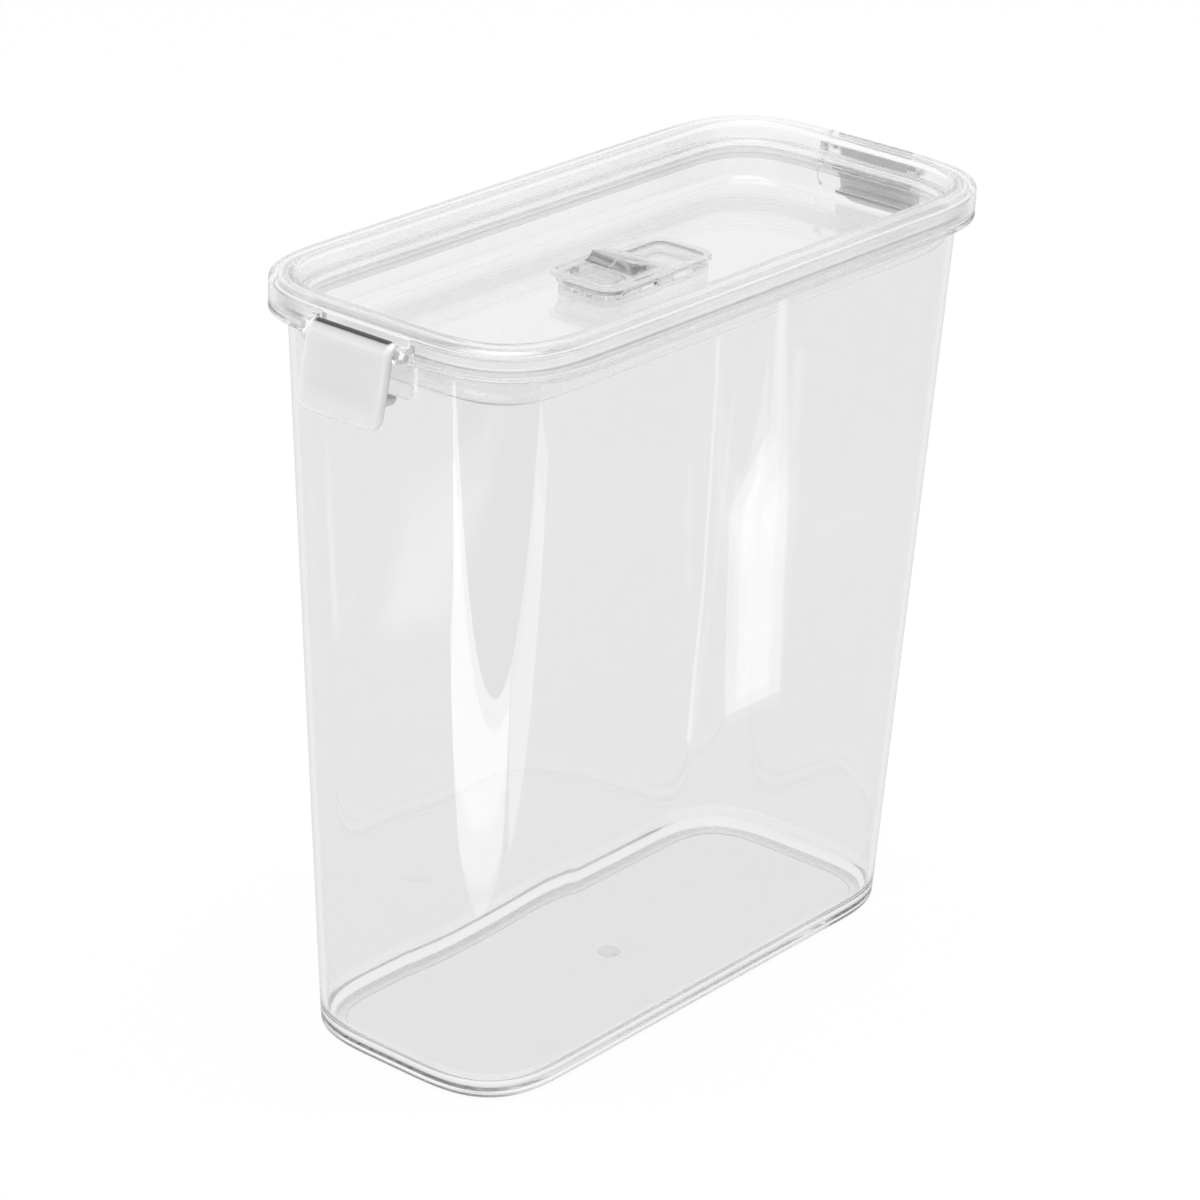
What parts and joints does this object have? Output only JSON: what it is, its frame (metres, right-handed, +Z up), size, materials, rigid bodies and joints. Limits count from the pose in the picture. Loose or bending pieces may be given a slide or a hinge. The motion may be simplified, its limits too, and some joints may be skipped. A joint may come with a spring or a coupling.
{
  "type": "airtight storage container",
  "caption": "Tall narrow clear plastic food keeper: tapered tub, recessed airtight lid held by a clip latch at each short end, and a sliding air vent in the lid.",
  "frame": {"origin": "middle of the foot, on the surface that the container stands on", "axes": "+X along the length towards the rear latch, +Y across the width, +Z up"},
  "size_m": [0.254, 0.1068, 0.24],
  "materials": {
    "tub_plastic": "clear water-white moulded plastic, polished inside and out",
    "lid_plastic": "clear water-white moulded plastic, polished",
    "latch_plastic": "clear moulded plastic, thicker and a little greyer",
    "vent_plastic": "clear moulded plastic, polished",
    "silicone": "translucent milky silicone, satin"
  },
  "bodies": {
    "tub": {"tub": "tub_plastic"},
    "lid": {"lid": "lid_plastic", "lid_gasket": "silicone", "vent_base": "vent_plastic", "vent_seal": "silicone"},
    "front_latch": {"front_latch": "latch_plastic"},
    "rear_latch": {"rear_latch": "latch_plastic"},
    "vent_slider": {"vent_slider": "vent_plastic"}
  },
  "joints": [
    {"name": "lid_lift", "type": "slide", "parent": "tub", "child": "lid", "axis": [0, 0, 1], "range_m": [0, 0.2]},
    {"name": "front_latch_swing", "type": "hinge", "parent": "lid", "child": "front_latch", "pos_m": [-0.119, 0, 0.2342], "axis": [0, 1, 0], "range_deg": [0, 100]},
    {"name": "rear_latch_swing", "type": "hinge", "parent": "lid", "child": "rear_latch", "pos_m": [0.119, 0, 0.2342], "axis": [0, -1, 0], "range_deg": [0, 100]},
    {"name": "vent_slide", "type": "slide", "parent": "lid", "child": "vent_slider", "axis": [1, 0, 0], "range_m": [0, 0.02]}
  ]
}
